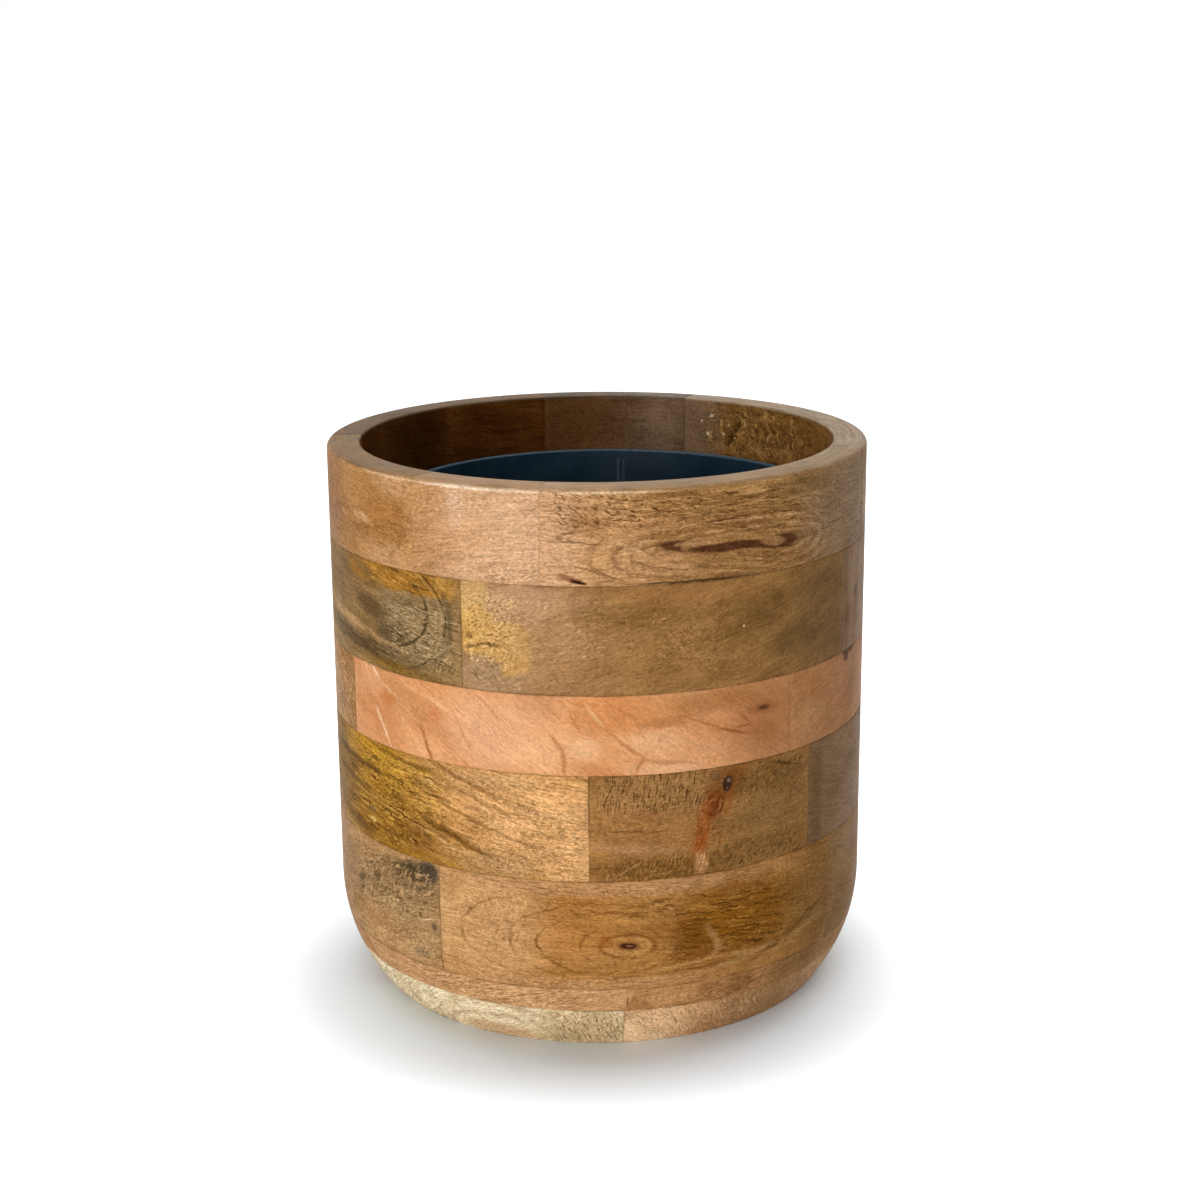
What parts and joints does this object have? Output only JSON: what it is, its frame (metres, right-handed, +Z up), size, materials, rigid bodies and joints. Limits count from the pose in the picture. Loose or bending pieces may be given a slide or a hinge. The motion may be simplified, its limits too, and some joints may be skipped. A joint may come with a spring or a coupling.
{
  "type": "cachepot",
  "caption": "Round straight-sided cachepot turned from stacked rings of glued wood blocks, with a base board, a tapered foot and a loose dark plastic liner that lifts out.",
  "frame": {"origin": "on the floor under the middle of the pot, in the plane of the foot's rest face", "axes": "+Z up along the pot's turned axis, -Y towards the viewer of the picture, +X to the viewer's right"},
  "size_m": [0.32, 0.32, 0.329],
  "materials": {
    "tan_wood": "satin",
    "olive_wood": "satin",
    "pink_wood": "satin",
    "golden_wood": "satin",
    "brown_wood": "satin",
    "orange_wood": "satin",
    "pale_wood": "satin",
    "liner_plastic": "satin"
  },
  "bodies": {
    "pot": {"rim_ring_block_1": "tan_wood", "rim_ring_block_2": "tan_wood", "rim_ring_block_3": "tan_wood", "rim_ring_block_4": "tan_wood", "rim_ring_block_5": "tan_wood", "rim_ring_block_6": "tan_wood", "second_ring_block_1": "olive_wood", "second_ring_block_2": "olive_wood", "second_ring_block_3": "olive_wood", "second_ring_block_4": "olive_wood", "second_ring_block_5": "olive_wood", "third_ring_block_1": "pink_wood", "third_ring_block_2": "pink_wood", "third_ring_block_3": "pink_wood", "third_ring_block_4": "pink_wood", "third_ring_block_5": "pink_wood", "fourth_ring_block_1": "golden_wood", "fourth_ring_block_2": "golden_wood", "fourth_ring_block_3": "golden_wood", "fourth_ring_block_4": "golden_wood", "fourth_ring_block_5": "golden_wood", "fifth_ring_block_1": "brown_wood", "fifth_ring_block_2": "brown_wood", "fifth_ring_block_3": "brown_wood", "fifth_ring_block_4": "brown_wood", "fifth_ring_block_5": "brown_wood", "foot_ring_block_1": "pale_wood", "foot_ring_block_2": "pale_wood", "foot_ring_block_3": "pale_wood", "foot_ring_block_4": "pale_wood", "foot_ring_block_5": "pale_wood", "base_plank_1": "orange_wood", "base_plank_2": "orange_wood", "base_plank_3": "orange_wood", "base_plank_4": "orange_wood", "base_plank_5": "orange_wood", "base_plank_6": "orange_wood", "base_plank_7": "orange_wood"},
    "liner": {"liner": "liner_plastic"}
  },
  "joints": [
    {"name": "liner_lift", "type": "slide", "parent": "pot", "child": "liner", "axis": [0, 0, 1], "range_m": [0, 0.3]}
  ]
}
